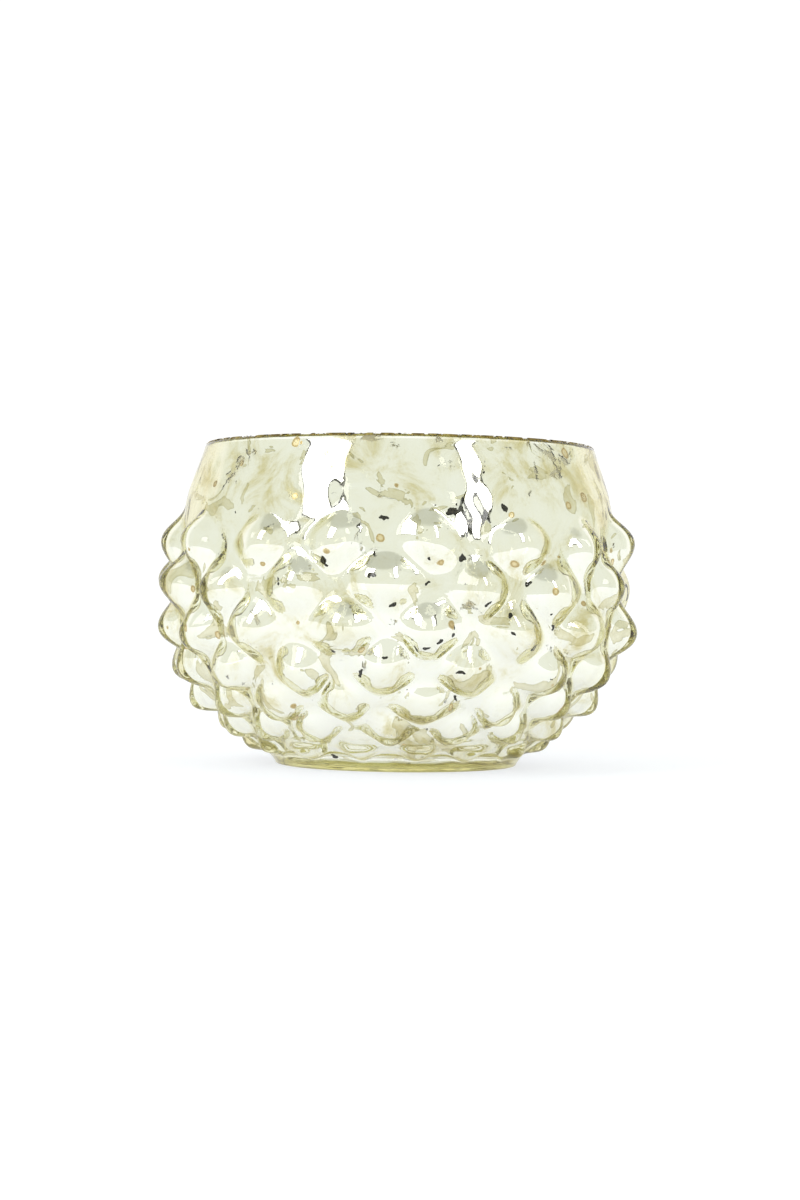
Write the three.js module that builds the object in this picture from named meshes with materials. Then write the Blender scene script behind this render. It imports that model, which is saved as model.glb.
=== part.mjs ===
// Tealight holder: a squat bowl of moulded glass with seven staggered rows of
// pointed bumps, silvered on the inside, lacquered over the silver, with a thin
// gilded line on the lip. Millimetres, +Z up, the front towards -Y, origin at
// the centre of the foot.
import * as THREE from 'three';

// ---------- sizes that can be set ----------
const HEIGHT = 58.6;            // foot to the top of the lip
const LIP_R = 36.0;             // outside of the glass at the lip
const BAND_HEIGHT = 8.4;        // plain band under the lip
const SHOULDER_R = 38.5;        // outside of the glass where the band ends
const BELLY_R = 41.1;           // widest part, in the valleys between bumps
const BELLY_UP = 0.512;         // share of the height where the belly is widest
const FOOT_R = 22.4;            // outside of the foot
const FOOT_RING = 4.0;          // width of the flat ring the holder stands on
const FOOT_EDGE = 0.6;          // rounding at the edge of the foot
const KICK_UP = 1.4;            // hollow under the base, inside the ring
const WALL = 1.4;               // glass in the valleys between bumps
const FLOOR_THICK = 1.4;        // glass between the kick-up and the candle seat
const CORNER = 1.8;             // rounding between the seat and the wall, inside
const BACK_SHARE = 0.84;        // height of the dips behind the bumps, as a share of the bumps
const BACK_CREASE = 1.0;        // softness of the creases on the inside: the glass fills them

const BUMP_COLUMNS = 16;        // bumps around one row
const BUMP_ROWS = 7;
const BUMP_HEIGHT = 4.4;        // of a bump on the belly
const BUMP_TURN = 8.0;          // degrees from the front to a bump of the top row
const TOP_ROW_DROP = 9.9;       // from the end of the band to the top row's peaks
const TAIL_ROWS = 0.2;          // plain glass under the last row, in row pitches
const CREASE = 0.06;            // softness of the creases between bumps
const TOP_ROW_SHARE = 0.86;     // height of the top row, as a share of the others
const LAST_ROW_SHARE = 0.75;
const WORN_AT = 88;             // degrees: where the even rows left the mould low
const WORN_SPREAD = 15;
const WORN_DEPTH = 0.6;

const SILVER = 0.25;            // silver coat with its copper flash
const LACQUER = 0.3;            // protective coat over the silver
const COAT_GAP = 0.05;          // modelling gap between two coats
const COAT_STOP = 0.6;          // from the lip's inner rounding down to the lacquer's edge
const GILT = 0.25;              // gilded line on the lip

// ---------- tessellation ----------
const AROUND = BUMP_COLUMNS * 8; // outside of the glass: the creases fall on vertices
const AROUND_IN = BUMP_COLUMNS * 4; // inside of the glass, and the coats
const RINGS_PER_ROW = 4;
const RINGS_PER_ROW_IN = 2;

// ---------- fits that follow from the sizes ----------
const SHOULDER_Z = HEIGHT - BAND_HEIGHT;
const BELLY_Z = HEIGHT * BELLY_UP;
const SEAT_Z = KICK_UP + FLOOR_THICK;
const LIP_ROUND = WALL * 0.6;
const LIP_FLAT = WALL * 0.5;   // flat crown of the lip, under the gilding

const rad = Math.PI / 180;
const angleOf = (i, around) => (i / around) * 2 * Math.PI + BUMP_TURN * rad;

// ---------- the outside profile in the valleys, foot to lip ----------
function bezier(points, t) {
  let p = points.map((q) => q.slice());
  while (p.length > 1) {
    p = p.slice(1).map((q, i) => [p[i][0] + (q[0] - p[i][0]) * t, p[i][1] + (q[1] - p[i][1]) * t]);
  }
  return p[0];
}

function outsideProfile(steps = 400) {
  const rise = BELLY_Z - FOOT_EDGE;
  const low = [
    [FOOT_R, FOOT_EDGE],
    [FOOT_R + (BELLY_R - FOOT_R) * 0.17, FOOT_EDGE + rise * 0.16],
    [BELLY_R, FOOT_EDGE + rise * 0.42],
    [BELLY_R, BELLY_Z],
  ];
  const high = [
    [BELLY_R, BELLY_Z],
    [BELLY_R, (BELLY_Z + SHOULDER_Z) / 2],
    [SHOULDER_R, SHOULDER_Z],
  ];
  const band = [[SHOULDER_R, SHOULDER_Z], [LIP_R, HEIGHT - LIP_ROUND]];
  const out = [];
  for (const curve of [low, high, band]) {
    for (let i = out.length ? 1 : 0; i <= steps; i++) out.push(bezier(curve, i / steps));
  }
  return out;
}

// The row coordinate is 1 on the top row's peaks and grows by one per row
// downwards. One row is a fixed share of the local radius, so that bumps keep
// their shape while the bowl narrows.
function rowCoordinates(profile) {
  const grown = [0];
  for (let i = 1; i < profile.length; i++) {
    const [r0, z0] = profile[i - 1];
    const [r1, z1] = profile[i];
    grown.push(grown[i - 1] + Math.hypot(r1 - r0, z1 - z0) / ((r0 + r1) / 2));
  }
  const topZ = SHOULDER_Z - TOP_ROW_DROP;
  let k = 1;
  while (profile[k][1] < topZ) k++;
  const f = (topZ - profile[k - 1][1]) / (profile[k][1] - profile[k - 1][1]);
  const atTop = grown[k - 1] + (grown[k] - grown[k - 1]) * f;
  const share = atTop / (BUMP_ROWS + TAIL_ROWS);
  return grown.map((g) => 1 + (atTop - g) / share);
}

const PROFILE = outsideProfile();
const ROW_AT = rowCoordinates(PROFILE);
const SHOULDER_ROW = ROW_AT[PROFILE.findIndex(([, z]) => z > SHOULDER_Z - 1e-9)];

// point and outward normal of the profile at row coordinate w (falls as the
// profile climbs)
function atRow(w) {
  let lo = 0;
  let hi = ROW_AT.length - 1;
  while (hi - lo > 1) {
    const mid = (lo + hi) >> 1;
    if (ROW_AT[mid] >= w) lo = mid; else hi = mid;
  }
  const f = Math.min(1, Math.max(0, (ROW_AT[lo] - w) / (ROW_AT[lo] - ROW_AT[hi])));
  const [r0, z0] = PROFILE[lo];
  const [r1, z1] = PROFILE[hi];
  const d = Math.hypot(r1 - r0, z1 - z0);
  return { r: r0 + (r1 - r0) * f, z: z0 + (z1 - z0) * f, nr: (z1 - z0) / d, nz: -(r1 - r0) / d };
}

// ---------- bumps ----------
// A lattice of diamonds: rows staggered by half a column. Over each diamond the
// height is the product of two softened cosines along its two diagonals.
function ridge(x, crease) {
  const c = Math.cos(Math.PI * x);
  return (Math.sqrt(c * c + crease * crease) - crease) / (Math.sqrt(1 + crease * crease) - crease);
}

function bumpHeight(angle, w, r, crease = CREASE) {
  const u = (angle - BUMP_TURN * rad) / (Math.PI / BUMP_COLUMNS);
  const v = w - 1;
  const a = (u + v) / 2;
  const b = (u - v) / 2;
  const row = Math.round(a) - Math.round(b) + 1;
  if (row < 1 || row > BUMP_ROWS) return 0;
  let size = BUMP_HEIGHT * (r / BELLY_R);
  if (row === 1) size *= TOP_ROW_SHARE;
  if (row === BUMP_ROWS) size *= LAST_ROW_SHARE;
  if (row % 2 === 0) {
    const off = Math.atan2(Math.sin(angle - WORN_AT * rad), Math.cos(angle - WORN_AT * rad)) / rad;
    size *= 1 - WORN_DEPTH * Math.exp(-((off / WORN_SPREAD) ** 2));
  }
  return size * ridge(a, crease) * ridge(b, crease);
}

// Of a cell's two diagonals, the one that lies nearer the true surface, so that
// creases and ridges run along edges.
function creaseRuns(lower, upper, i, around) {
  if (lower.w === undefined || upper.w === undefined) return i % 2 === 0;
  const t0 = angleOf(i, around);
  const t1 = angleOf(i + 1, around);
  const r = BELLY_R;
  const centre = bumpHeight((t0 + t1) / 2, (lower.w + upper.w) / 2, r);
  const rising = (bumpHeight(t0, lower.w, r) + bumpHeight(t1, upper.w, r)) / 2;
  const falling = (bumpHeight(t1, lower.w, r) + bumpHeight(t0, upper.w, r)) / 2;
  return Math.abs(rising - centre) < Math.abs(falling - centre);
}

// ---------- closed bodies from rings ----------
// rings: functions of the angle giving [r, z]; a ring may also be a single
// point on the axis. The loop of rings closes on itself when `loop` is true.
function ringBody(rings, around, loop) {
  const pos = [];
  const index = [];
  const start = [];
  for (const ring of rings) {
    start.push(pos.length / 3);
    if (ring.pole) {
      pos.push(0, 0, ring.z);
      continue;
    }
    for (let i = 0; i < around; i++) {
      const t = angleOf(i, around);
      const [r, z] = ring.at(t);
      pos.push(r * Math.sin(t), -r * Math.cos(t), z);
    }
  }
  const n = loop ? rings.length : rings.length - 1;
  for (let j = 0; j < n; j++) {
    const k = (j + 1) % rings.length;
    for (let i = 0; i < around; i++) {
      const i2 = (i + 1) % around;
      const a = start[j] + (rings[j].pole ? 0 : i);
      const b = start[j] + (rings[j].pole ? 0 : i2);
      const c = start[k] + (rings[k].pole ? 0 : i);
      const d = start[k] + (rings[k].pole ? 0 : i2);
      if (rings[j].pole) index.push(a, d, c);
      else if (rings[k].pole) index.push(a, b, c);
      else if (creaseRuns(rings[j], rings[k], i, around)) index.push(a, b, d, a, d, c);
      else index.push(a, b, c, b, d, c);
    }
  }
  const g = new THREE.BufferGeometry();
  g.setAttribute('position', new THREE.Float32BufferAttribute(pos, 3));
  g.setIndex(index);
  g.computeVertexNormals();
  return g;
}

const plain = (r, z) => ({ at: () => [r, z] });
const pole = (z) => ({ pole: true, z });

// ---------- the inside, and the coats on it ----------
// The inside follows the outside at a distance of WALL, dips behind each bump,
// and ends in a rounded corner and a flat seat. `inset` moves the whole line
// inwards. Every inset uses the same places, so that the coats lie on the glass
// without crossing it.
function insidePoint(w, inset, lift = 0) {
  const p = atRow(w);
  const off = lift - WALL - inset;
  return [p.r + p.nr * off, p.z + p.nz * off];
}

// row coordinate of the inside line at a height
function insideRow(z) {
  let lo = ROW_AT[ROW_AT.length - 1];
  let hi = ROW_AT[0];
  for (let i = 0; i < 40; i++) {
    const mid = (lo + hi) / 2;
    if (insidePoint(mid, 0)[1] > z) lo = mid; else hi = mid;
  }
  return lo;
}

function insideRings(inset, stop = 0) {
  const top = ROW_AT[ROW_AT.length - 1];
  const start = insideRow(insidePoint(top, 0)[1] - stop);
  const end = insideRow(SEAT_Z + CORNER);
  const rows = [start];
  if (SHOULDER_ROW > start) rows.push(SHOULDER_ROW);
  const after = rows[rows.length - 1] + 0.15;
  for (let k = 0; k / RINGS_PER_ROW_IN < end - 0.15; k++) {
    if (k / RINGS_PER_ROW_IN > after) rows.push(k / RINGS_PER_ROW_IN);
  }
  rows.push(end);
  const rings = rows.map((w) => ({ w, at: (t) => {
    const p = atRow(w);
    const calm = Math.min(1, Math.max(0, (end - w) / 0.75));
    return insidePoint(w, inset, bumpHeight(t, w, p.r, BACK_CREASE) * BACK_SHARE * calm);
  } }));
  // the rounded corner down to the seat
  const seat = SEAT_Z + inset;
  const [r0, z0] = insidePoint(end, inset);
  const p = insidePoint(end, inset);
  const q = insidePoint(end - 0.05, inset);
  const slope = (q[0] - p[0]) / (q[1] - p[1]);
  const knee = [r0 - slope * (z0 - seat), seat];
  const flat = [knee[0] - CORNER * 0.55, seat];
  for (let i = 1; i <= 2; i++) rings.push(plain(...bezier([[r0, z0], knee, flat], i / 2)));
  return rings;
}

function glassBowl() {
  const rings = [];
  // under the base: kick-up, ring, edge of the foot
  rings.push(pole(KICK_UP));
  rings.push(plain(FOOT_R - FOOT_RING - FOOT_EDGE - KICK_UP * 1.4, KICK_UP));
  rings.push(plain(FOOT_R - FOOT_RING - FOOT_EDGE, 0));
  rings.push(plain(FOOT_R - FOOT_EDGE, 0));
  // outside wall with the bumps
  const first = ROW_AT[0];
  rings.push(plain(...PROFILE[0]));
  for (let k = (BUMP_ROWS + 1) * RINGS_PER_ROW; k >= 0; k--) {
    const w = k / RINGS_PER_ROW;
    if (first - w < 0.5) continue;   // the last row runs out on the foot
    const p = atRow(w);
    rings.push({ w, at: (t) => {
      const h = bumpHeight(t, w, p.r);
      return [p.r + h * p.nr, p.z + h * p.nz];
    } });
  }
  // plain band and lip
  rings.push(plain(SHOULDER_R, SHOULDER_Z));
  rings.push(plain(LIP_R, HEIGHT - LIP_ROUND));
  rings.push(plain(LIP_R - WALL * 0.09, HEIGHT - LIP_ROUND * 0.3));
  rings.push(plain(LIP_R - WALL * 0.3, HEIGHT));
  return rings;
}

function toGeometry() {
  // outside at AROUND, inside at AROUND_IN: the two meet on the lip's top edge
  const outer = glassBowl();
  const inner = [];
  const inside = insideRings(0);
  inner.push(plain(LIP_R - WALL * 0.3 - LIP_FLAT, HEIGHT));
  inner.push(plain(LIP_R - WALL * 0.97, HEIGHT - LIP_ROUND * 0.4));
  inner.push(...inside);
  inner.push(pole(SEAT_Z));
  const a = ringBody(outer, AROUND, false);
  const b = ringBody(inner, AROUND_IN, false);
  const pos = [...a.getAttribute('position').array, ...b.getAttribute('position').array];
  const index = [...a.getIndex().array];
  const shift = a.getAttribute('position').count;
  for (const i of b.getIndex().array) index.push(i + shift);
  // zip the outer's last ring to the inner's first ring
  const o0 = shift - AROUND;
  const i0 = shift;
  let i = 0;
  let j = 0;
  while (i < AROUND || j < AROUND_IN) {
    const nextO = (i + 1) / AROUND;
    const nextI = (j + 1) / AROUND_IN;
    if (j >= AROUND_IN || (i < AROUND && nextO <= nextI + 1e-9)) {
      index.push(o0 + (i % AROUND), o0 + ((i + 1) % AROUND), i0 + (j % AROUND_IN));
      i++;
    } else {
      index.push(o0 + (i % AROUND), i0 + ((j + 1) % AROUND_IN), i0 + (j % AROUND_IN));
      j++;
    }
  }
  const g = new THREE.BufferGeometry();
  g.setAttribute('position', new THREE.Float32BufferAttribute(pos, 3));
  g.setIndex(index);
  g.computeVertexNormals();
  return g;
}

// A coat lines the inside from `stop` below the lip's inner rounding down over
// the seat. Its two faces are the inside line moved in by `near` and by `far`.
function coat(near, far, stop) {
  const rings = [pole(SEAT_Z + near)];
  rings.push(...insideRings(near, stop).reverse(), ...insideRings(far, stop));
  rings.push(pole(SEAT_Z + far));
  return ringBody(rings, AROUND_IN, false);
}

// The gilded line: a thin flat ring resting on the crown of the lip.
function gilt() {
  const out = LIP_R - WALL * 0.3 - COAT_GAP;
  const inn = out - LIP_FLAT + 2 * COAT_GAP;
  const z0 = HEIGHT + COAT_GAP;
  const z1 = z0 + GILT;
  const edge = GILT * 0.4;
  const rings = [plain(out, z0), plain(out - edge, z1), plain(inn + edge, z1), plain(inn, z0)];
  return ringBody(rings, AROUND_IN * 2, true);
}

function material(hex, roughness, metalness, extra = {}) {
  return new THREE.MeshStandardMaterial({ color: new THREE.Color(hex), roughness, metalness, ...extra });
}

const root = new THREE.Group();
root.name = 'tealight_holder';

function add(name, geometry, mat) {
  const mesh = new THREE.Mesh(geometry, mat);
  mesh.name = name;
  root.add(mesh);
}

add('glass_bowl', toGeometry(), material('#dfe0cb', 0.08, 0.0, { transparent: true, opacity: 0.45 }));
add('silver_lining', coat(COAT_GAP, COAT_GAP + SILVER, COAT_STOP), material('#e9e8dd', 0.12, 1.0));
add('backing_lacquer', coat(2 * COAT_GAP + SILVER, 2 * COAT_GAP + SILVER + LACQUER, COAT_STOP), material('#c9b489', 0.45, 0.0));
add('lip_gilding', gilt(), material('#8a6a35', 0.4, 0.6));

export default root;
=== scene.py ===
"""Silvered glass tealight holder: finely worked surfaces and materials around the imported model."""

import math

import bpy
import numpy as np
from mathutils import Matrix, Vector


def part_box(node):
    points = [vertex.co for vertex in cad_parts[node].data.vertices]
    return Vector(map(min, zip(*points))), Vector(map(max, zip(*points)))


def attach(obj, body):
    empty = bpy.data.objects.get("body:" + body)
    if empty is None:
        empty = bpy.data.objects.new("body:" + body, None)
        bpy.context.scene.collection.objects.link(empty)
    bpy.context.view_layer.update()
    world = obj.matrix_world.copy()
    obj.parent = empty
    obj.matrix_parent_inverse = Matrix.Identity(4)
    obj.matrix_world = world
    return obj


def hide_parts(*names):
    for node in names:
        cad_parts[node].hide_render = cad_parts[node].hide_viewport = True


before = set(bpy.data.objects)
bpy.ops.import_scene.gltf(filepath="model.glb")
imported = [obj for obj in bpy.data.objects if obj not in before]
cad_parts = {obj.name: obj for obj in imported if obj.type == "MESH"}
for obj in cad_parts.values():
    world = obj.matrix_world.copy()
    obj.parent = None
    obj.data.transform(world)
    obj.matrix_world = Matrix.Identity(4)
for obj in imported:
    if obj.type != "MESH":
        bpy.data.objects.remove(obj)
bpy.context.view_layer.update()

MM = 0.001

# ---------------------------------------------------------------- sizes, in mm, as the part has them
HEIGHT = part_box("glass_bowl")[1][2] / MM
LIP_R = 36.0             # at the lip, outside
SHOULDER_R = 38.5        # where the plain band ends
BELLY_R = 41.1           # the widest, in the valleys between the bumps
FOOT_R = 22.4
BAND_HEIGHT = 8.4
SHOULDER_Z = HEIGHT - BAND_HEIGHT
BELLY_Z = HEIGHT * 0.512
WALL = 1.4
LIP_ROUND = WALL * 0.6
FOOT_RING = 4.0          # width of the flat ring the bowl stands on
FOOT_EDGE = 0.6          # rounding outside that ring
KICK_UP = 1.4            # hollow under the foot
FLOOR_THICK = 1.4
SEAT_Z = KICK_UP + FLOOR_THICK
CORNER = 1.8             # rounding between the wall and the seat inside

COLUMNS = 16             # bumps round the bowl
ROWS = 7
BUMP = 4.4               # a bump's height at the belly
BUMP_TURN = math.radians(8.0)
TOP_ROW_DROP = 9.9       # from the shoulder down to the top row's peaks
TAIL_ROWS = 0.2          # plain glass under the last row, in rows
TOP_ROW_SHARE = 0.86     # how high the top row and the last row stand beside the others
LAST_ROW_SHARE = 0.75
WORN_AT = 88             # every second row is flatter round this angle, in degrees
WORN_SPREAD = 15
WORN_DEPTH = 0.6
CREASE = 0.32            # softness of the creases between bumps
BACK_SHARE = 0.84        # how much of a bump shows on the inside wall
BACK_CREASE = 1.0        # the glass fills the creases, so the inside is softer

# ---------------------------------------------------------------- how finely the surfaces are drawn
AROUND = 384             # grid columns round the bowl: 24 to a bump
GILT_AROUND = 720
OUTSIDE_RINGS = 112
WALL_RINGS = 84
PROFILE_STEPS = 3000     # even steps along the outside line, about 0.02 mm each
EASE = 45                # steps to each side over which the shoulder's kink is eased
POLE_R = 0.8             # the first ring round the axis


# ---------------------------------------------------------------- the bowl's surfaces
def bezier(points, t):
    """A Bezier curve by repeated straight mixing of its control points, for all t at once."""
    rows = [np.outer(1 - t, p) + np.outer(t, q) for p, q in zip(points[:-1], points[1:])]
    while len(rows) > 1:
        rows = [a * (1 - t)[:, None] + b * t[:, None] for a, b in zip(rows[:-1], rows[1:])]
    return rows[0]


def eased(line):
    """A line's values smoothed by a bell-shaped running mean, its ends carried on straight."""
    soft = np.hanning(2 * EASE + 1)
    soft /= soft.sum()
    return np.convolve(np.pad(line, EASE, mode="reflect", reflect_type="odd"), soft, mode="valid")


def outside_profile():
    """The outside line in the valleys, foot to lip: a cubic up to the belly, a quadratic in to the
    shoulder, then a straight taper, with the kink at the shoulder eased over about 2 mm. Returned
    evenly spaced as length, radius, height and the outward normal."""
    t = np.linspace(0, 1, 800)
    rise = BELLY_Z - FOOT_EDGE
    low = bezier([(FOOT_R, FOOT_EDGE), (FOOT_R + (BELLY_R - FOOT_R) * 0.17, FOOT_EDGE + rise * 0.16),
                  (BELLY_R, FOOT_EDGE + rise * 0.42), (BELLY_R, BELLY_Z)], t)
    high = bezier([(BELLY_R, BELLY_Z), (BELLY_R, (BELLY_Z + SHOULDER_Z) / 2), (SHOULDER_R, SHOULDER_Z)], t)
    band = bezier([(SHOULDER_R, SHOULDER_Z), (LIP_R, HEIGHT - LIP_ROUND)], t)
    p = np.vstack([low, high[1:], band[1:]])
    s = np.r_[0, np.cumsum(np.hypot(*np.diff(p, axis=0).T))]
    length = np.linspace(0, s[-1], PROFILE_STEPS)
    r, z = eased(np.interp(length, s, p[:, 0])), eased(np.interp(length, s, p[:, 1]))
    dr, dz = np.gradient(r), np.gradient(z)
    d = np.hypot(dr, dz)
    return length, r, z, dz / d, -dr / d


LENGTH, R0, Z0, NR, NZ = outside_profile()
# the row coordinate along that line, 1 on the top row's peaks: rows narrow as the bowl does, so that
# a bump keeps its proportions
WRAPPED = np.r_[0, np.cumsum(np.diff(LENGTH) / ((R0[1:] + R0[:-1]) / 2))]
TOP_AT = np.interp(SHOULDER_Z - TOP_ROW_DROP, Z0, WRAPPED)
ROW = 1 + (TOP_AT - WRAPPED) / (TOP_AT / (ROWS + TAIL_ROWS))


def bumps(angle, row, r, crease=CREASE):
    """Height of the bumps over the valleys: over each diamond of a staggered lattice, the product of
    two softened cosines along its diagonals, times the row's size. The crease is how softly a
    cosine's sign change is rounded off."""
    u = (angle - BUMP_TURN) / (math.pi / COLUMNS)
    v = row - 1
    a, b = (u + v) / 2, (u - v) / 2
    which = np.round(a) - np.round(b) + 1

    def ridge(x):
        c = np.cos(np.pi * x)
        return (np.sqrt(c * c + crease ** 2) - crease) / (math.sqrt(1 + crease ** 2) - crease)

    size = BUMP * r / BELLY_R
    size = size * np.where(which == 1, TOP_ROW_SHARE, 1.0) * np.where(which == ROWS, LAST_ROW_SHARE, 1.0)
    worn = np.angle(np.exp(1j * (angle - math.radians(WORN_AT)))) / math.radians(WORN_SPREAD)
    size = size * np.where(which % 2 == 0, 1 - WORN_DEPTH * np.exp(-worn ** 2), 1.0)
    # no two bumps of a hand-cut mould are quite alike
    column = np.round(a) + np.round(b)
    size = size * (0.90 + 0.10 * np.sin(2.4 * column + 1.9 * which + 0.5) * np.sin(1.3 * column - 2.7 * which))
    return np.where((which >= 1) & (which <= ROWS), size * ridge(a) * ridge(b), 0.0)


def shifted(angle, row):
    """The lattice pulled a little out of true, as the mould's hand-cut cells are: slow sine waves added
    to the angle and the row."""
    return (angle + 0.016 * np.sin(5 * angle + 1.7 * row) + 0.012 * np.sin(9 * angle - 2.3 * row + 1.0),
            row + 0.07 * np.sin(4 * angle + 2.0) + 0.05 * np.sin(11 * angle + 0.9 * row))


def hand_of_glass(angle, z):
    """Slow unevenness of hand-worked glass in mm: a few sine waves of unrelated lengths."""
    return (0.10 * np.sin(3 * angle + z / 9.0 + 0.7) + 0.06 * np.sin(7 * angle - z / 5.3 + 2.1)
            + 0.05 * np.sin(13 * angle + z / 3.1 + 4.0) + 0.03 * np.sin(29 * angle - z / 1.9))


def inside_line(inset):
    """The inside line from just under the lip down the wall, round the corner and across the seat.
    The wall is the outside line moved in by the wall's thickness and the inset, the corner a
    quadratic curve. Returned as radius, height, row coordinate and how much of a bump's back shows."""
    off = WALL + inset
    r, z = R0 - NR * off, Z0 - NZ * off
    plain_r, plain_z = R0 - NR * WALL, Z0 - NZ * WALL
    low = int(np.argmax(plain_z > SEAT_Z + CORNER))
    at = np.linspace(len(r) - 1, low, WALL_RINGS)
    k = np.arange(len(r))
    wr, wz, ww = np.interp(at, k, r), np.interp(at, k, z), np.interp(at, k, ROW)
    seat = SEAT_Z + inset
    slope = (plain_r[low + 6] - plain_r[low]) / (plain_z[low + 6] - plain_z[low])
    knee = wr[-1] - slope * (wz[-1] - seat)
    turn = bezier([(wr[-1], wz[-1]), (knee, seat), (knee - CORNER * 0.55, seat)], np.linspace(0, 1, 16)[1:])
    flat = np.linspace(turn[-1, 0], POLE_R, 8)[1:]
    r = np.r_[wr, turn[:, 0], flat]
    z = np.r_[wz, turn[:, 1], np.full(len(flat), seat)]
    w = np.r_[ww, np.full(len(turn) + len(flat), ww[-1])]
    weight = np.clip((ww[-1] - w) / 0.75, 0, 1)
    return r, z, w, weight


def inside_surface(inset, angle):
    """The inside line swept round the axis, pushed out into the back of each bump by a softened
    share of the bump's height, with the glass's slow unevenness and the fine marks of the tool that
    opened it."""
    r, z, w, weight = inside_line(inset)
    dr, dz = np.gradient(r), np.gradient(z)
    d = np.hypot(dr, dz) + 1e-9
    nr, nz = -dz / d, dr / d                      # outwards, because the line runs downwards
    a = angle[None, :]
    outer_r = np.interp(w[::-1], ROW[::-1], R0[::-1])[::-1]
    # the top rows came out shallower on the inside, most in front and behind
    shallow = 1 - 0.16 * np.cos(a) ** 4 * np.clip((3.2 - w) / 1.8, 0, 1)[:, None]
    dent = BACK_SHARE * shallow * bumps(*shifted(a, w[:, None]), outer_r[:, None], BACK_CREASE) * weight[:, None]
    tool = 0.03 * np.sin(41 * a + z[:, None] / 1.3) * np.sin(17 * a - z[:, None] / 2.2 + 1.0)
    swell = weight * np.clip((HEIGHT - 1.5 - z) / 3.0, 0, 1)
    dent = dent + (hand_of_glass(a, z[:, None]) + tool) * swell[:, None]
    return (r[:, None] + dent * nr[:, None]), (z[:, None] + dent * nz[:, None])


def swept(name, radius, height, angle, poles=()):
    """Rings of radius and height round the axis, joined into one closed skin. Without poles the last
    ring joins the first. With them the skin is closed by two points on the axis, at the height
    before the first ring and the height after the last."""
    rings, around = radius.shape
    x, y = radius * np.sin(angle), -radius * np.cos(angle)
    co = np.stack([x, y, height], -1).reshape(-1, 3)
    i = np.arange(around)
    j = (i + 1) % around
    step = np.arange(rings if not poles else rings - 1)[:, None]
    a, b = step * around + i, step * around + j
    c, d = ((step + 1) % rings) * around + j, ((step + 1) % rings) * around + i
    quads = np.stack([a, b, c, d], -1).reshape(-1, 4)
    tris = np.zeros((0, 3), int)
    if poles:
        n = len(co)
        co = np.vstack([co, [(0, 0, poles[0]), (0, 0, poles[1])]])
        last = (rings - 1) * around
        tris = np.vstack([np.stack([np.full(around, n), j, i], -1),
                          np.stack([last + i, last + j, np.full(around, n + 1)], -1)])
    mesh = bpy.data.meshes.new(name)
    mesh.vertices.add(len(co))
    mesh.vertices.foreach_set("co", (co * MM).astype(np.float32).ravel())
    loops = np.r_[quads.ravel(), tris.ravel()].astype(np.int32)
    mesh.loops.add(len(loops))
    mesh.loops.foreach_set("vertex_index", loops)
    starts = np.r_[np.arange(len(quads)) * 4, len(quads) * 4 + np.arange(len(tris)) * 3].astype(np.int32)
    mesh.polygons.add(len(starts))
    mesh.polygons.foreach_set("loop_start", starts)
    mesh.update(calc_edges=True)
    mesh.validate()
    mesh.polygons.foreach_set("use_smooth", np.ones(len(mesh.polygons), bool))
    ob = bpy.data.objects.new(name, mesh)
    bpy.context.scene.collection.objects.link(ob)
    return ob


def grid_angle(around=AROUND):
    """Even angles round the axis, the first one on a bump's ridge."""
    return np.arange(around) / around * 2 * math.pi + BUMP_TURN


def lip_curve(n=13, inset=0.0):
    """The lip's rounding: a half ellipse over the wall's thickness, outside to inside, grown by the
    inset."""
    t = np.linspace(0, math.pi, n)[1:-1]
    a = (R0[-1], Z0[-1])
    b = (R0[-1] - NR[-1] * WALL, Z0[-1] - NZ[-1] * WALL)
    mid = ((a[0] + b[0]) / 2, (a[1] + b[1]) / 2)
    half = ((a[0] - b[0]) / 2, (a[1] - b[1]) / 2)
    up = (-half[1] / WALL * 2, half[0] / WALL * 2)
    rise = (HEIGHT - mid[1]) / (up[1] + 1e-9) * 0.985      # the crown stays just under the gilding
    wide, tall = 1 + inset / (WALL / 2), rise + inset
    return (mid[0] + half[0] * wide * np.cos(t) + up[0] * tall * np.sin(t),
            mid[1] + half[1] * wide * np.cos(t) + up[1] * tall * np.sin(t))


def glass_body():
    """One closed skin: under the foot, up the bumpy outside, over the lip and down the inside."""
    angle = grid_angle()
    a = angle[None, :]
    ring_r = FOOT_R - FOOT_RING - FOOT_EDGE
    under = [(POLE_R, KICK_UP), (6.0, KICK_UP), (ring_r - 3.2, KICK_UP * 0.98), (ring_r - 1.6, KICK_UP * 0.62),
             (ring_r - 0.5, KICK_UP * 0.14), (ring_r, 0.02), (ring_r + 0.4, 0.0), (ring_r + 2.5, 0.0),
             (FOOT_R - FOOT_EDGE - 0.3, 0.0), (FOOT_R - FOOT_EDGE, 0.01), (FOOT_R - FOOT_EDGE * 0.55, 0.1),
             (FOOT_R - FOOT_EDGE * 0.2, 0.3)]
    r_under = np.array([p[0] for p in under])[:, None] + 0 * a
    z_under = np.array([p[1] for p in under])[:, None] + 0 * a
    k = np.round(np.linspace(0, len(R0) - 1, OUTSIDE_RINGS)).astype(int)
    r, z, w, nr, nz = (v[k][:, None] for v in (R0, Z0, ROW, NR, NZ))
    swell = np.clip((HEIGHT - LIP_ROUND - z) / 3.0, 0, 1) * np.clip(z / 3.0, 0, 1)
    h = bumps(*shifted(a, w), r) + hand_of_glass(a, z) * swell
    lr, lz = lip_curve()
    ri, zi = inside_surface(0.0, angle)
    radius = np.vstack([r_under, r + h * nr, lr[:, None] + 0 * a, ri])
    height = np.vstack([z_under, z + h * nz, lz[:, None] + 0 * a, zi])
    return swept("glass_bowl_moulded", radius, height, a, (KICK_UP, SEAT_Z))


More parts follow.
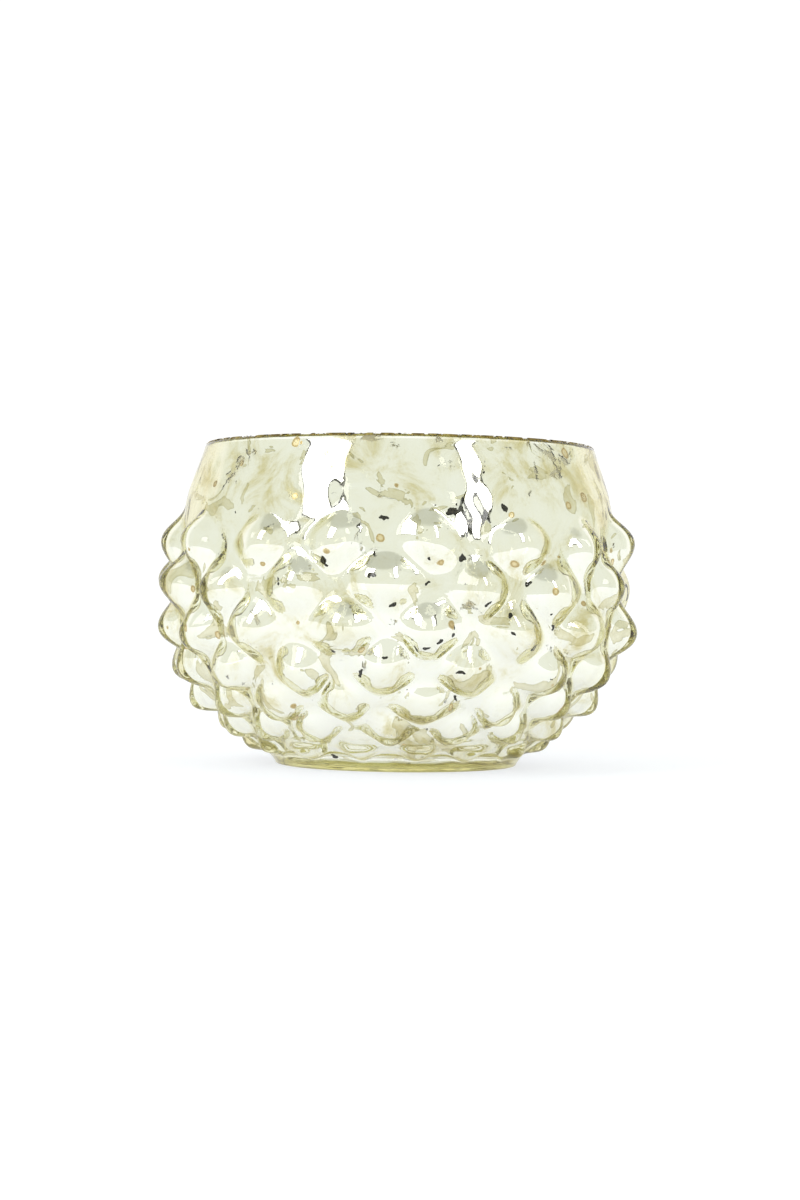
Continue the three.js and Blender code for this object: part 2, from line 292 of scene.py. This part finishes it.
def coat(name, near, far, start):
    """A coat on the inside: its two faces are the inside surface, with the inner side of the lip from
    step start of its curve on, moved in by near and by far mm. They are joined along the top edge."""
    angle = grid_angle()
    faces = []
    for inset in (near, far):
        r, z = inside_surface(inset, angle)
        lr, lz = lip_curve(25, inset)
        lr, lz = lr[start:], lz[start:]
        faces.append((np.vstack([lr[:, None] + 0 * r[:1], r]), np.vstack([lz[:, None] + 0 * z[:1], z])))
    (r1, z1), (r2, z2) = faces
    return swept(name, np.vstack([r1[::-1], r2]), np.vstack([z1[::-1], z2]), angle[None, :],
                 (SEAT_Z + near, SEAT_Z + far))


def gilding():
    """The gilded line on the lip: a low crowned strip round the lip, its section a half ellipse."""
    angle = grid_angle(GILT_AROUND)
    t = np.linspace(0, math.pi, 9)
    mid = LIP_R - WALL * 0.55
    # its edges wander by up to about a third of its half width
    ragged = 1 + 0.14 * np.sin(31 * angle + 1) + 0.12 * np.sin(73 * angle) + 0.1 * np.sin(127 * angle + 2)
    r = mid + 0.42 * np.cos(t)[:, None] * ragged[None, :]
    z = HEIGHT - 0.02 - 0.25 * np.cos(t)[:, None] ** 2 + 0.17 * np.sin(t)[:, None]
    under_r = mid + 0.34 * np.cos(t[::-1])[:, None] * ragged[None, :]
    under_z = HEIGHT - 0.14 - 0.25 * np.cos(t[::-1])[:, None] ** 2 + 0.0 * under_r
    r = np.vstack([r, under_r[1:-1]])
    z = np.vstack([z + 0 * angle[None, :], under_z[1:-1]])
    return swept("lip_gilding_worn", r, z, angle[None, :])


# ---------------------------------------------------------------- materials
def colour(hexa, alpha=1.0):
    """An sRGB hex colour as linear numbers."""
    v = [int(hexa[i:i + 2], 16) / 255 for i in (1, 3, 5)]
    return tuple(c / 12.92 if c <= 0.04045 else ((c + 0.055) / 1.055) ** 2.4 for c in v) + (alpha,)


def add(tree, kind, ins=None, ramp=None, **settings):
    """A node of that kind with its settings. Its inputs are given by name or number, each as a value
    or as the output that feeds it; a colour ramp takes its (position, colour) stops."""
    node = tree.nodes.new("ShaderNode" + kind)
    for key, value in settings.items():
        setattr(node, key, value)
    for key, value in (ins or {}).items():
        if isinstance(value, bpy.types.NodeSocket):
            tree.links.new(value, node.inputs[key])
        else:
            node.inputs[key].default_value = value
    if ramp:
        e = node.color_ramp.elements
        e[0].position, e[0].color = ramp[0]
        e[-1].position, e[-1].color = ramp[-1]
        for position, value in ramp[1:-1]:
            e.new(position).color = value
    return node


def material(name):
    """A new material, its node tree, and the object coordinates in millimetres."""
    m = bpy.data.materials.new(name)
    m.use_nodes = True
    t = m.node_tree
    t.nodes.clear()
    coord = add(t, "TexCoord").outputs["Object"]
    return m, t, add(t, "Mapping", {"Vector": coord, "Scale": (1 / MM,) * 3}).outputs[0]


def clear_glass():
    """Soda-lime glass, blown in a mould and fire-polished: a clear gloss over slow ripples about 5 mm
    long, tinted yellow-green by absorption in its depth. Olive painted shade is laid on its surface where
    the eye looks along the wall, standing in for the dark crescents on the bumps' flanks."""
    m, t, where = material("soda_lime_glass_fire_polished")
    ripple = add(t, "TexNoise", {"Vector": where, "Scale": 1 / 5.0, "Detail": 2.0}).outputs[0]
    bump = add(t, "Bump", {"Height": ripple, "Strength": 0.12, "Distance": 0.0006}).outputs[0]
    # painted shade: the surface colour turns olive at grazing angles, standing in for the dark edges of the bumps
    facing = add(t, "LayerWeight", {"Blend": 0.5}).outputs["Facing"]
    painted_edge_shade = add(t, "ValToRGB", {0: facing}, ramp=[
        (0.46, colour("#FEFEFD")), (0.61, colour("#EBE7C6")), (0.78, colour("#D6CC94")),
        (1.0, colour("#CCC184"))]).outputs[0]
    shader = add(t, "BsdfPrincipled", {"Base Color": painted_edge_shade, "Roughness": 0.015, "IOR": 1.52,
                                       "Transmission Weight": 1.0, "Normal": bump})
    depth = add(t, "VolumeAbsorption", {"Color": (0.80, 0.76, 0.30, 1.0), "Density": 36.0})
    add(t, "OutputMaterial", {"Surface": shader.outputs[0], "Volume": depth.outputs[0]})
    return m


def silver():
    """Silver mirror laid on glass and antiqued: bright, with cream bloom thickest under the lip,
    dull patches with a fine dark outline, ragged bare islands, amber blisters and black pits."""
    m, t, where = material("antiqued_silver_mirror")
    axes = add(t, "SeparateXYZ", {0: where})
    height = axes.outputs[2]
    # wear gathers near the lip, over twice as much on the right as on the left
    high = add(t, "MapRange", {0: height, 1: 42.0, 2: 54.0}, interpolation_type="SMOOTHSTEP").outputs[0]
    right = add(t, "MapRange", {0: axes.outputs[0], 1: 4.0, 2: 24.0}, interpolation_type="SMOOTHSTEP").outputs[0]
    right = add(t, "Math", {0: right, 1: 0.52, 2: 0.42}, operation="MULTIPLY_ADD").outputs[0]
    lip_side = add(t, "Math", {0: high, 1: right}, operation="MULTIPLY").outputs[0]

    # bloom: clouds about 9 mm across with finer grain in them
    cloud = add(t, "TexNoise", {"Vector": where, "Scale": 1 / 9.0, "Detail": 6.0, "Roughness": 0.66,
                                "Distortion": 0.5}).outputs[0]
    level = add(t, "Math", {0: lip_side, 1: 0.10, 2: cloud}, operation="MULTIPLY_ADD").outputs[0]
    tone = add(t, "ValToRGB", {0: level}, ramp=[
        (0.40, colour("#FDFEFA")), (0.54, colour("#FAFAF1")), (0.60, colour("#F2F0DE")), (0.66, colour("#E4DEBA")),
        (0.74, colour("#D6CC98"))]).outputs[0]

    # dull patches in a pattern of 7.5 mm, each with an outline. The real line is finer than a hair and
    # wouldn't show, so it is drawn about 0.2 mm wide
    patch = add(t, "TexNoise", {"Vector": where, "Scale": 1 / 7.5, "Detail": 3.0, "Roughness": 0.5,
                                "Distortion": 1.1}).outputs[0]
    outline = add(t, "ValToRGB", {0: patch}, ramp=[
        (0.600, colour("#FFFFFF")), (0.606, colour("#B9B592")), (0.612, colour("#E3DFC8")),
        (0.70, colour("#EEEBDA"))]).outputs[0]
    tone = add(t, "Mix", {0: 1.0, 6: tone, 7: outline}, data_type="RGBA", blend_type="MULTIPLY").outputs[2]

    # amber blisters up to 2 mm across with a darker rim, in cells of 5 mm
    wobble = add(t, "TexNoise", {"Vector": where, "Scale": 1 / 2.2, "Detail": 2.0}).outputs[1]
    bent = add(t, "VectorMath", {0: wobble, 1: (0.9, 0.9, 0.9), 2: where}, operation="MULTIPLY_ADD").outputs[0]
    cell = add(t, "TexVoronoi", {"Vector": bent, "Scale": 1 / 5.0})
    lot = add(t, "SeparateColor", {0: cell.outputs[1]})
    shrink = add(t, "MapRange", {0: lot.outputs[1], 3: 0.95, 4: 2.3}).outputs[0]
    reach = add(t, "Math", {0: cell.outputs[0], 1: shrink}, operation="MULTIPLY").outputs[0]
    blister = add(t, "ValToRGB", {0: reach}, ramp=[
        (0.0, colour("#F3E8C8")), (0.11, colour("#ECDCAE")), (0.16, colour("#BBA067")),
        (0.195, colour("#D9CBA0"))]).outputs[0]
    near = add(t, "MapRange", {0: reach, 1: 0.215, 2: 0.19}).outputs[0]
    some = add(t, "Math", {0: lot.outputs[0], 1: 0.42}, operation="GREATER_THAN").outputs[0]
    share = add(t, "Math", {0: near, 1: some}, operation="MULTIPLY").outputs[0]
    tone = add(t, "Mix", {0: share, 6: tone, 7: blister}, data_type="RGBA").outputs[2]

    # black pits up to 1 mm across, drawn out upwards by the wobble, most of them on the front
    far = add(t, "VectorMath", {0: where, 1: (9.0, -38.0, 31.0)}, operation="DISTANCE").outputs["Value"]
    front = add(t, "MapRange", {0: far, 1: 10.0, 2: 30.0, 3: 0.10, 4: 0.84}).outputs[0]
    ragged = add(t, "TexNoise", {"Vector": where, "Scale": 1 / 1.3, "Detail": 2.0}).outputs[1]
    pit_at = add(t, "VectorMath", {0: wobble, 1: (2.4, 2.4, 4.6), 2: where}, operation="MULTIPLY_ADD").outputs[0]
    pit_at = add(t, "VectorMath", {0: ragged, 1: (1.2, 1.2, 1.2), 2: pit_at}, operation="MULTIPLY_ADD").outputs[0]
    pit = add(t, "TexVoronoi", {"Vector": pit_at, "Scale": 1 / 4.3})
    pit_lot = add(t, "SeparateColor", {0: pit.outputs[1]})
    size = add(t, "MapRange", {0: pit_lot.outputs[1], 3: 0.06, 4: 0.21}).outputs[0]
    inside = add(t, "Math", {0: pit.outputs[0], 1: size}, operation="LESS_THAN").outputs[0]
    chosen = add(t, "Math", {0: pit_lot.outputs[0], 1: front}, operation="GREATER_THAN").outputs[0]
    dark = add(t, "Math", {0: inside, 1: chosen}, operation="MULTIPLY").outputs[0]
    tone = add(t, "Mix", {0: dark, 6: tone, 7: colour("#2A281B")}, data_type="RGBA").outputs[2]

    # bare islands, where the lacquer shows: many near the lip, few low down
    island = add(t, "TexNoise", {"Vector": where, "Scale": 1 / 6.0, "Detail": 5.0, "Roughness": 0.62,
                                 "Distortion": 0.6}).outputs[0]
    bare = add(t, "Math", {0: lip_side, 1: 0.085, 2: island}, operation="MULTIPLY_ADD").outputs[0]
    cover = add(t, "MapRange", {0: bare, 1: 0.70, 2: 0.665}, interpolation_type="SMOOTHSTEP").outputs[0]

    # a fresh mirror is nearly smooth; bloom, blisters and pits scatter more
    rough = add(t, "MapRange", {0: level, 1: 0.52, 2: 0.72, 3: 0.02, 4: 0.10}).outputs[0]
    rough = add(t, "Math", {0: share, 1: 0.2, 2: rough}, operation="MULTIPLY_ADD").outputs[0]
    rough = add(t, "Math", {0: dark, 1: 0.4, 2: rough}, operation="MULTIPLY_ADD").outputs[0]
    shader = add(t, "BsdfPrincipled", {"Base Color": tone, "Metallic": 1.0, "Roughness": rough, "Alpha": cover})
    add(t, "OutputMaterial", {"Surface": shader.outputs[0]})
    return m


def lacquer():
    """Tan spirit lacquer brushed over the silver: cream to gold-brown mottling with a soft sheen,
    seen through the bare islands and inside the bowl."""
    m, t, where = material("tan_backing_lacquer_mottled")
    cloud = add(t, "TexNoise", {"Vector": where, "Scale": 1 / 7.0, "Detail": 6.0, "Roughness": 0.65,
                                "Distortion": 0.4}).outputs[0]
    tone = add(t, "ValToRGB", {0: cloud}, ramp=[
        (0.32, colour("#EFEBD6")), (0.50, colour("#E5DDBA")), (0.62, colour("#D8CA98")),
        (0.78, colour("#B59A60"))]).outputs[0]
    # the brush's grain is finer than 0.1 mm and wouldn't show, so it is drawn at 0.6 mm
    grain = add(t, "TexNoise", {"Vector": where, "Scale": 1 / 0.6, "Detail": 3.0}).outputs[0]
    bump = add(t, "Bump", {"Height": grain, "Strength": 0.25, "Distance": 0.0001}).outputs[0]
    shader = add(t, "BsdfPrincipled", {"Base Color": tone, "Normal": bump, "Roughness": 0.42, "Metallic": 0.35})
    add(t, "OutputMaterial", {"Surface": shader.outputs[0]})
    return m


def antique_gilt():
    """Gilding rubbed thin on the lip: brown-gold, broken by bare glass."""
    m, t, where = material("rubbed_antique_gilding")
    cloud = add(t, "TexNoise", {"Vector": where, "Scale": 1 / 2.2, "Detail": 5.0, "Roughness": 0.7}).outputs[0]
    tone = add(t, "ValToRGB", {0: cloud}, ramp=[
        (0.35, colour("#5A4B22")), (0.5, colour("#877339")), (0.68, colour("#BFB06E"))]).outputs[0]
    # the gaps come from another part of the noise, so that they don't follow the tone
    apart = add(t, "VectorMath", {0: where, 1: (31.0, 7.0, 3.0)}, operation="ADD").outputs[0]
    gap = add(t, "TexNoise", {"Vector": apart, "Scale": 1 / 1.3, "Detail": 3.0, "Roughness": 0.6}).outputs[0]
    cover = add(t, "MapRange", {0: gap, 1: 0.56, 2: 0.50}, interpolation_type="SMOOTHSTEP").outputs[0]
    shader = add(t, "BsdfPrincipled", {"Base Color": tone, "Alpha": cover, "Roughness": 0.4, "Metallic": 0.7})
    add(t, "OutputMaterial", {"Surface": shader.outputs[0]})
    return m


def piece(ob, mat, node):
    """The object dressed in its material, in place of that CAD node."""
    ob.data.materials.append(mat)
    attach(ob, "root")
    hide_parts(node)


piece(glass_body(), clear_glass(), "glass_bowl")
# the mirror starts 0.02 mm inside the glass, so that no air shows between them: they are bonded
piece(coat("silver_lining_antiqued", -0.02, 0.12, 13), silver(), "silver_lining")
piece(coat("backing_lacquer_mottled", 0.16, 0.34, 15), lacquer(), "backing_lacquer")
piece(gilding(), antique_gilt(), "lip_gilding")

# ---------------------------------------------------------------- floor, light, camera
FLOOR_REACH = 4.0        # metres from the bowl to the floor's edges
LIGHT_ELEVATION = 33     # degrees
LIGHT_DISTANCE = 1.3     # metres
LIGHT_HEIGHT = 0.74
LIGHT_BORDER = 0.032     # width of the black cloth round each light
AIM_HEIGHT = 0.03        # the bowl's middle
CAMERA_AT = (0.35 * MM, -440.0 * MM, 30.3 * MM)
CAMERA_ROLL = 0.8        # degrees
CAMERA_LENS = 71.4       # mm, for 36 mm along the frame's longer side


def plain_material(name, values):
    """A material of one plain shader with those values."""
    m, t, _ = material(name)
    add(t, "OutputMaterial", {"Surface": add(t, "BsdfPrincipled", values).outputs[0]})
    return m


def studio():
    """A pale floor lit a little from behind, as paper on a light table, and a plain room round it that
    is white behind the bowl, off-white in front and greyer overhead."""
    floor = bpy.data.meshes.new("floor")
    s = FLOOR_REACH
    floor.from_pydata([(-s, -s, 0), (s, -s, 0), (s, s, 0), (-s, s, 0)], [], [(0, 1, 2, 3)])
    ob = bpy.data.objects.new("floor", floor)
    bpy.context.scene.collection.objects.link(ob)
    floor.materials.append(plain_material("white_paper_sweep", {
        "Base Color": colour("#AAABAC"), "Roughness": 0.9,
        "Emission Color": colour("#F8FAFF"), "Emission Strength": 0.68}))

    world = bpy.data.worlds.new("studio")
    world.use_nodes = True
    bpy.context.scene.world = world
    t = world.node_tree
    t.nodes.clear()
    way = add(t, "SeparateXYZ", {0: add(t, "TexCoord").outputs["Generated"]})
    back = add(t, "MapRange", {0: way.outputs[1], 1: 0.45, 2: 0.75}, interpolation_type="SMOOTHSTEP").outputs[0]
    wall = add(t, "Mix", {0: back, 6: colour("#E7EAE1"), 7: colour("#FFFFFF")}, data_type="RGBA").outputs[2]
    overhead = add(t, "MapRange", {0: way.outputs[2], 1: 0.70, 2: 0.84}, interpolation_type="SMOOTHSTEP").outputs[0]
    tone = add(t, "Mix", {0: overhead, 6: wall, 7: colour("#C6C9BE")}, data_type="RGBA").outputs[2]
    add(t, "OutputWorld", {"Surface": add(t, "Background", {"Color": tone, "Strength": 1.09}).outputs[0]})


def softbox(name, azimuth, width, power):
    """A soft light in a black cloth frame, aimed at the bowl from its azimuth in degrees (0 in front,
    growing to the right)."""
    a, e = math.radians(azimuth), math.radians(LIGHT_ELEVATION)
    spot = Vector((math.sin(a) * math.cos(e), -math.cos(a) * math.cos(e), math.sin(e))) * LIGHT_DISTANCE
    light = bpy.data.lights.new(name, "AREA")
    light.shape = "RECTANGLE"
    light.size, light.size_y = width, LIGHT_HEIGHT
    light.energy = power
    frame_mesh = bpy.data.meshes.new(name + "_frame")
    w, h, b = width / 2, LIGHT_HEIGHT / 2, LIGHT_BORDER
    frame_mesh.from_pydata([(-w - b, -h - b, 0), (w + b, -h - b, 0), (w + b, h + b, 0), (-w - b, h + b, 0),
                            (-w, -h, 0), (w, -h, 0), (w, h, 0), (-w, h, 0)], [],
                           [(0, 1, 5, 4), (1, 2, 6, 5), (2, 3, 7, 6), (3, 0, 4, 7)])
    ob = bpy.data.objects.new(name, light)
    ob.location = spot + Vector((0, 0, AIM_HEIGHT))
    ob.rotation_euler = (-spot).to_track_quat("-Z", "Y").to_euler()
    bpy.context.scene.collection.objects.link(ob)
    rim = bpy.data.objects.new(name + "_frame", frame_mesh)
    rim.location, rim.rotation_euler = ob.location, ob.rotation_euler
    bpy.context.scene.collection.objects.link(rim)
    m = bpy.data.materials.get("black_cloth_frame") or plain_material(
        "black_cloth_frame", {"Base Color": colour("#1C1C1A"), "Roughness": 0.9})
    frame_mesh.materials.append(m)


studio()
softbox("softbox_left", -46, 0.46, 4.9)
softbox("softbox_right", 41.5, 0.18, 2.0)

camera_data = bpy.data.cameras.new("camera")
camera = bpy.data.objects.new("camera", camera_data)
bpy.context.scene.collection.objects.link(camera)
bpy.context.scene.camera = camera
camera_data.sensor_fit = "AUTO"
camera_data.sensor_width = 36.0
camera_data.lens = CAMERA_LENS
camera_data.clip_start = 0.01
camera_data.clip_end = 50
camera.matrix_world = (Matrix.Translation(Vector(CAMERA_AT)) @ Matrix.Rotation(math.radians(90), 4, "X")
                       @ Matrix.Rotation(math.radians(CAMERA_ROLL), 4, "Z"))

bpy.context.scene.view_settings.view_transform = "Standard"
bpy.context.scene.view_settings.look = "None"
# light crosses silvered glass many times before it leaves: with few bounces the creases turn black
paths = bpy.context.scene.cycles
paths.max_bounces = paths.glossy_bounces = paths.transmission_bounces = 64
paths.transparent_max_bounces = 32
